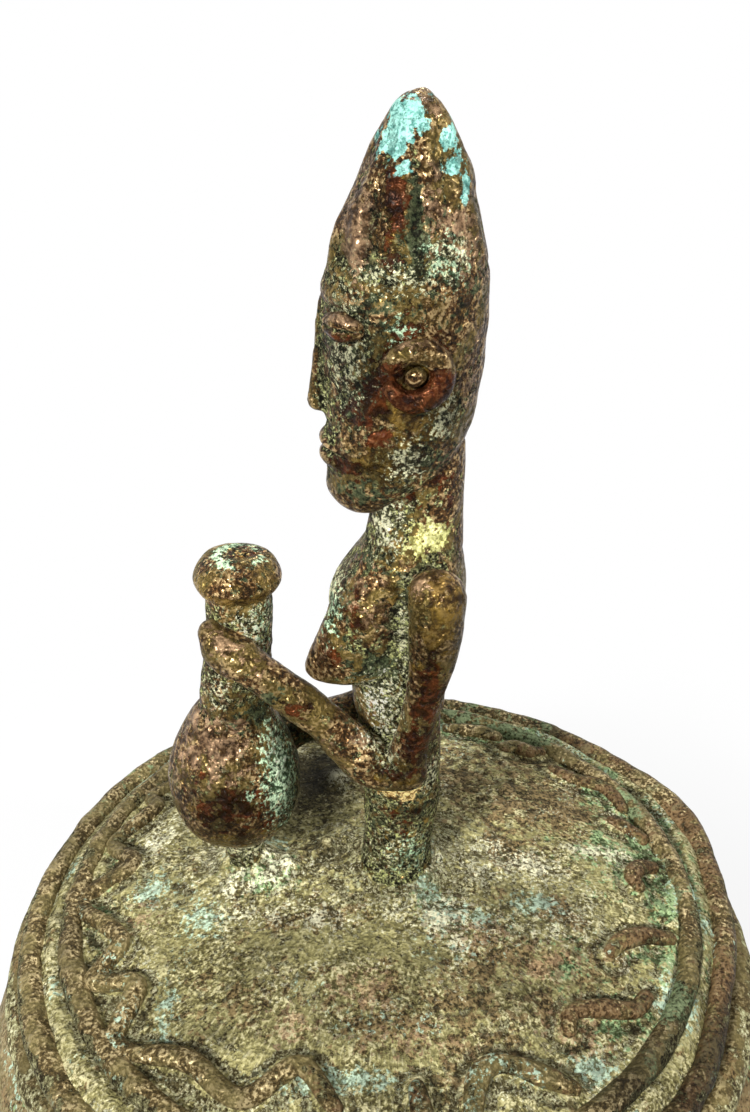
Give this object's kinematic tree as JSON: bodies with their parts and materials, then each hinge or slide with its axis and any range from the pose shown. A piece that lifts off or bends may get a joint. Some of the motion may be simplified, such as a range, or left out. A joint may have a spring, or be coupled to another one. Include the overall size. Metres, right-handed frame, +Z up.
{
  "type": "lidded bronze vessel",
  "caption": "Round lidded bronze vessel with thread ornament; a half figure holding a stoppered flask stands on the lift-off lid.",
  "frame": {"origin": "on the vessel's axis at the bottom of its foot ring", "axes": "+Z up along the vessel's axis, the figure faces -X and its left arm is towards -Y"},
  "size_m": [0.1616, 0.1616, 0.2414],
  "materials": {
    "pot_bronze": "olive-brown patina with green in the hollows",
    "lid_bronze": "olive-tan patina with pale mint speckle",
    "crusted_bronze": "rough green-grey crust over dark bronze",
    "figure_bronze": "dark brown, rubbed to a shine on the high places",
    "thread_bronze": "brown, rubbed to a shine along the top"
  },
  "bodies": {
    "pot": {"pot_body": "pot_bronze", "pot_foot_ring": "pot_bronze", "pot_collar": "thread_bronze", "pot_shoulder_ring": "thread_bronze", "pot_belly_ring": "thread_bronze", "pot_wave_front": "thread_bronze", "pot_wave_back": "thread_bronze"},
    "lid": {"lid_plate": "lid_bronze", "lid_locating_ring": "lid_bronze", "lid_edge_ring": "thread_bronze", "lid_inner_ring": "thread_bronze", "wave_thread_left": "thread_bronze", "wave_thread_front": "thread_bronze", "hook_thread_front": "thread_bronze", "hook_thread_front_right": "thread_bronze", "hook_thread_right": "thread_bronze", "curl_thread_right": "thread_bronze", "curl_thread_back_right": "thread_bronze", "hook_thread_back_right": "thread_bronze", "curl_thread_back": "thread_bronze", "hook_thread_back": "thread_bronze", "wave_thread_back": "thread_bronze", "figure_waist": "crusted_bronze", "figure_torso": "figure_bronze", "figure_neck": "figure_bronze", "figure_head": "figure_bronze", "figure_coiffure": "figure_bronze", "nose": "figure_bronze", "lip_upper": "thread_bronze", "lip_lower": "thread_bronze", "flask_foot": "crusted_bronze", "flask_body": "lid_bronze", "flask_neck": "crusted_bronze", "flask_stopper": "thread_bronze", "breast_left": "figure_bronze", "eye_left": "thread_bronze", "ear_left": "thread_bronze", "ear_pellet_left": "thread_bronze", "upper_arm_left": "figure_bronze", "forearm_left": "figure_bronze", "hand_left": "figure_bronze", "breast_right": "figure_bronze", "eye_right": "thread_bronze", "ear_right": "thread_bronze", "ear_pellet_right": "thread_bronze", "upper_arm_right": "figure_bronze", "forearm_right": "figure_bronze", "hand_right": "figure_bronze"}
  },
  "joints": [
    {"name": "lid_lift", "type": "slide", "parent": "pot", "child": "lid", "axis": [0, 0, 1], "range_m": [0, 0.1]}
  ]
}
